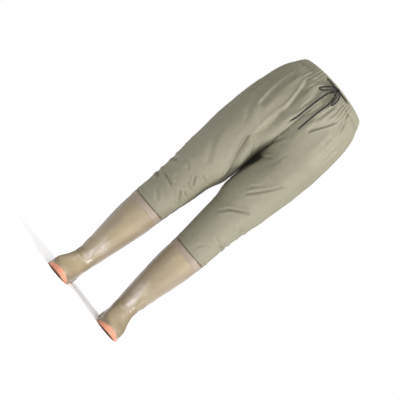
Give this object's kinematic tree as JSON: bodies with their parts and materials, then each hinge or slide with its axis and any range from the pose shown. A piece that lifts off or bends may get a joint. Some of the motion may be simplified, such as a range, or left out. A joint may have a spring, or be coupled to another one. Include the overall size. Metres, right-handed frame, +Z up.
{
  "type": "waist wader",
  "caption": "Waterproof cloth trousers with a drawstring waist, welded to moulded wading boots.",
  "frame": {"origin": "on the floor, under the middle of the wader without its free drawstring", "axes": "+Z up, toes towards -Y, +X is the wearer's left"},
  "size_m": [0.386, 0.3482, 1.093],
  "materials": {
    "cloth": "coated nylon, dull sheen",
    "boot_pvc": "semi-gloss moulded PVC",
    "band_pvc": "welded PVC band",
    "sole_pvc": "satin moulded sole",
    "insole_felt": "brushed felt",
    "cord": "braided cord"
  },
  "bodies": {
    "root": {"trouser_left": "cloth", "boot_upper_left": "boot_pvc", "collar_band_left": "band_pvc", "outsole_left": "sole_pvc", "insole_left": "insole_felt", "trouser_right": "cloth", "boot_upper_right": "boot_pvc", "collar_band_right": "band_pvc", "outsole_right": "sole_pvc", "insole_right": "insole_felt", "waistband": "cloth", "drawstring_bar_left": "cord", "drawstring_bar_right": "cord", "drawstring_knot": "cord", "drawstring_end_left": "cord", "drawstring_end_right": "cord", "drawstring_loop_left": "cord", "drawstring_loop_right": "cord"}
  },
  "joints": []
}
